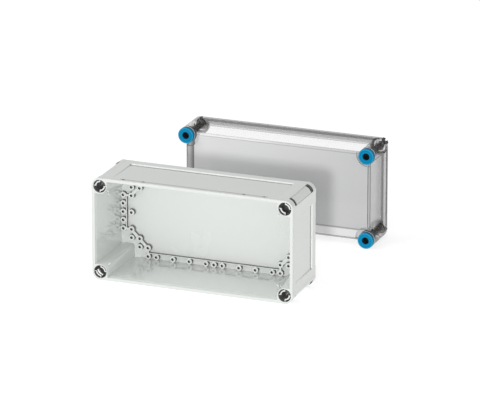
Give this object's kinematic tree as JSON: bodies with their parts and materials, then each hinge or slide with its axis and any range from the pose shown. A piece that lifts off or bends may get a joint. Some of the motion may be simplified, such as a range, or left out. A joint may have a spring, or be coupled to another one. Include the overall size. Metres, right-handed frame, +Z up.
{
  "type": "electrical enclosure",
  "caption": "Deep grey plastic enclosure base with grid domes and corner pockets, beside its clear lid with blue quarter-turn fasteners.",
  "frame": {"origin": "middle of the base's flat back face", "axes": "+Z up with the base standing on its long side, -Y the way the base opens, +X along its length to the right as seen from the open side"},
  "size_m": [0.325, 0.3306, 0.15],
  "materials": {
    "base_grey": "fine moulded texture, light grey",
    "lid_clear": "clear, polished",
    "gasket_rubber": "soft foamed cord",
    "head_blue": "satin moulded",
    "spindle_black": "glass-filled moulding",
    "seal_rubber": "smooth",
    "clip_steel": "spring steel"
  },
  "bodies": {
    "base": {"base_shell": "base_grey"},
    "lid": {"lid_shell": "lid_clear", "lid_gasket": "gasket_rubber"},
    "fastener_top_right": {"fastener_head_top_right": "head_blue", "fastener_spindle_top_right": "spindle_black", "fastener_seal_top_right": "seal_rubber", "fastener_clip_top_right": "clip_steel"},
    "fastener_top_left": {"fastener_head_top_left": "head_blue", "fastener_spindle_top_left": "spindle_black", "fastener_seal_top_left": "seal_rubber", "fastener_clip_top_left": "clip_steel"},
    "fastener_bottom_left": {"fastener_head_bottom_left": "head_blue", "fastener_spindle_bottom_left": "spindle_black", "fastener_seal_bottom_left": "seal_rubber", "fastener_clip_bottom_left": "clip_steel"},
    "fastener_bottom_right": {"fastener_head_bottom_right": "head_blue", "fastener_spindle_bottom_right": "spindle_black", "fastener_seal_bottom_right": "seal_rubber", "fastener_clip_bottom_right": "clip_steel"}
  },
  "joints": [
    {"name": "lid_lift", "type": "slide", "parent": "base", "child": "lid", "axis": [0, 0, 1], "range_m": [0, 0.16]},
    {"name": "fastener_turn_top_right", "type": "hinge", "parent": "lid", "child": "fastener_top_right", "pos_m": [0.163, 0.202, 0.063], "axis": [0, -1, 0], "range_deg": [0, 90]},
    {"name": "fastener_turn_top_left", "type": "hinge", "parent": "lid", "child": "fastener_top_left", "pos_m": [-0.113, 0.202, 0.063], "axis": [0, -1, 0], "range_deg": [0, 90]},
    {"name": "fastener_turn_bottom_left", "type": "hinge", "parent": "lid", "child": "fastener_bottom_left", "pos_m": [-0.113, 0.202, -0.063], "axis": [0, -1, 0], "range_deg": [0, 90]},
    {"name": "fastener_turn_bottom_right", "type": "hinge", "parent": "lid", "child": "fastener_bottom_right", "pos_m": [0.163, 0.202, -0.063], "axis": [0, -1, 0], "range_deg": [0, 90]}
  ]
}
